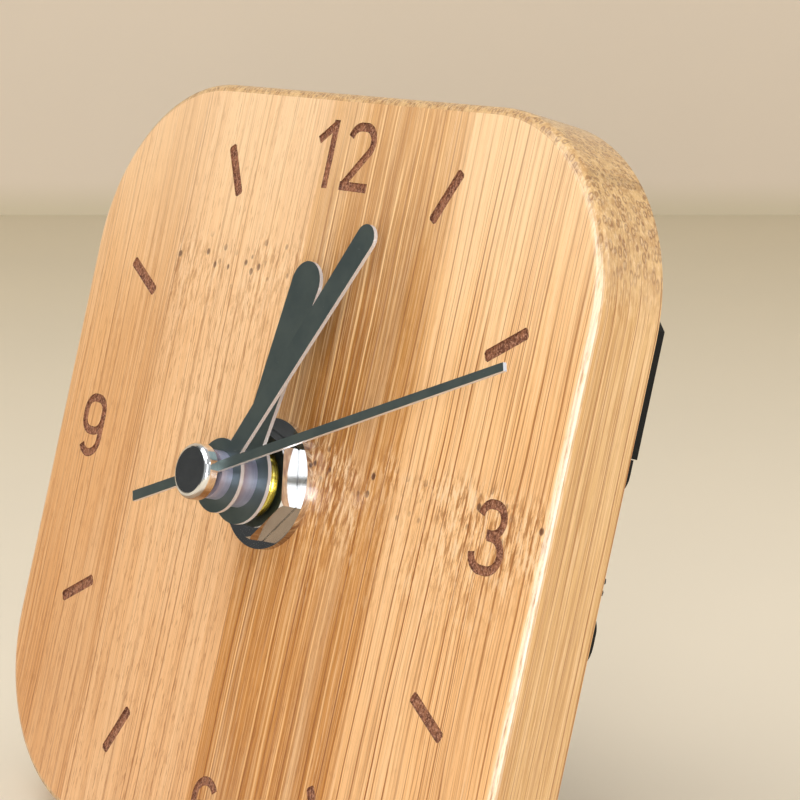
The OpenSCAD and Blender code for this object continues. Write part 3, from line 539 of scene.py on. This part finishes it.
AHEAD = Vector((-sin(radians(CAMERA_YAW)), cos(radians(CAMERA_YAW)), 0))   # level, away from the camera
ACROSS = Vector((AHEAD.y, -AHEAD.x, 0))
WALL_DISTANCE = 0.934                 # from the camera to the wall
STAGE_REACH = 4.0                     # of the floor, to either side and towards the camera
WALL_REACH = 1.1                      # of the wall, to either side and upwards
FLOOR_SHADE_REACH = 0.75                     # how far in front of the wall the floor's painted shade begins
WALL_SHADE_REACH = 0.014                     # how far up the wall the painted shade at its foot reaches


def sheet_object(name, corners, material):
    mesh = bpy.data.meshes.new(name)
    mesh.from_pydata(corners, [], [list(range(len(corners)))])
    mesh.materials.append(material)
    thing = bpy.data.objects.new(name, mesh)
    bpy.context.scene.collection.objects.link(thing)


def painted(name, first, last, along, start, end):
    """A plain painted surface whose tone changes softly between two distances along a direction."""
    g = Paint(name)
    place = g.add("ShaderNodeTexCoord").outputs["Object"]
    distance = g.vector("DOT_PRODUCT", place, tuple(along))
    mottle = g.noise(place, (9.0, 9.0, 9.0), 3, 0.6)
    colour = g.mix(g.rise(distance, start, end), first, last)
    colour = g.mix(g.rise(mottle, 0.3, 0.7, 0.03), colour, grey(150))
    return g.done(Base_Color=colour, Roughness=0.85)


eye = Vector((camera.location.x, camera.location.y, 0))
wall_foot = eye + AHEAD * WALL_DISTANCE
wall_at = wall_foot.dot(AHEAD)
# painted shade: the floor darkens towards the wall, and the wall is darker at its foot
floor_paint = painted("floor_paint", tone(232, 218, 196), tone(204, 189, 160),
                      AHEAD, wall_at - FLOOR_SHADE_REACH, wall_at)
wall_paint = painted("wall_paint", tone(206, 191, 163), tone(219, 202, 181),
                     Vector((0, 0, 1)), 0.0, WALL_SHADE_REACH)

floor_side = ACROSS * STAGE_REACH
near_edge = wall_foot - AHEAD * STAGE_REACH
sheet_object("floor", [wall_foot - floor_side, wall_foot + floor_side,
                       near_edge + floor_side, near_edge - floor_side], floor_paint)

wall_side = ACROSS * WALL_REACH
wall_top = wall_foot + Vector((0, 0, WALL_REACH))
sheet_object("wall", [wall_foot - wall_side, wall_foot + wall_side,
                      wall_top + wall_side, wall_top - wall_side], wall_paint)


DAYLIGHT = (0.93, 0.965, 1.0)


def soft_light(name, direction, distance, size, watts):
    """A square softbox that stands in the given direction from the clock and faces it."""
    data = bpy.data.lights.new(name, "AREA")
    data.shape = "SQUARE"
    data.size = size
    data.energy = watts
    data.color = DAYLIGHT
    lamp = bpy.data.objects.new(name, data)
    lamp.location = SHAFT + Vector(direction).normalized() * distance
    lamp.rotation_euler = (SHAFT - lamp.location).to_track_quat("-Z", "Y").to_euler()
    bpy.context.scene.collection.objects.link(lamp)


soft_light("window", (0.713, -0.489, 0.503), 0.9, 0.36, 0.8)
soft_light("side", (0.74, 0.5, 0.5), 0.9, 0.45, 1.6)
soft_light("overhead", (-0.1, -0.5, 1.0), 1.0, 0.9, 6.2)
soft_light("rear_fill", (-0.5, 0.85, 0.6), 1.0, 0.5, 2.2)
soft_light("front_fill", (0.74, -0.653, 0.15), 0.9, 0.26, 4.0)

# the room's light: bright above and to the right, dark low on the left in front
DARK_SIDE = Vector((-0.794, -0.597, 0.114)).normalized()
DARK_FROM, DARK_WHOLLY = 0.55, 0.92   # cosines of the angle from DARK_SIDE over which it darkens
ROOM_BRIGHT, ROOM_DARK = 0.55, 0.065  # the room's strength away from it and towards it
world = bpy.data.worlds.new("room")
bpy.context.scene.world = world
world.use_nodes = True
sky = world.node_tree
sky.nodes.clear()
direction = sky.nodes.new("ShaderNodeTexCoord")
toward_dark = sky.nodes.new("ShaderNodeVectorMath")
toward_dark.operation = "DOT_PRODUCT"
toward_dark.inputs[1].default_value = DARK_SIDE
fade = sky.nodes.new("ShaderNodeMapRange")
fade.interpolation_type = "SMOOTHSTEP"
fade.inputs["From Min"].default_value = DARK_FROM
fade.inputs["From Max"].default_value = DARK_WHOLLY
fade.inputs["To Min"].default_value = ROOM_BRIGHT
fade.inputs["To Max"].default_value = ROOM_DARK
backdrop = sky.nodes.new("ShaderNodeBackground")
backdrop.inputs["Color"].default_value = (0.94, 0.965, 0.96, 1)
world_output = sky.nodes.new("ShaderNodeOutputWorld")
sky.links.new(direction.outputs["Generated"], toward_dark.inputs[0])
sky.links.new(toward_dark.outputs["Value"], fade.inputs["Value"])
sky.links.new(fade.outputs[0], backdrop.inputs["Strength"])
sky.links.new(backdrop.outputs[0], world_output.inputs[0])
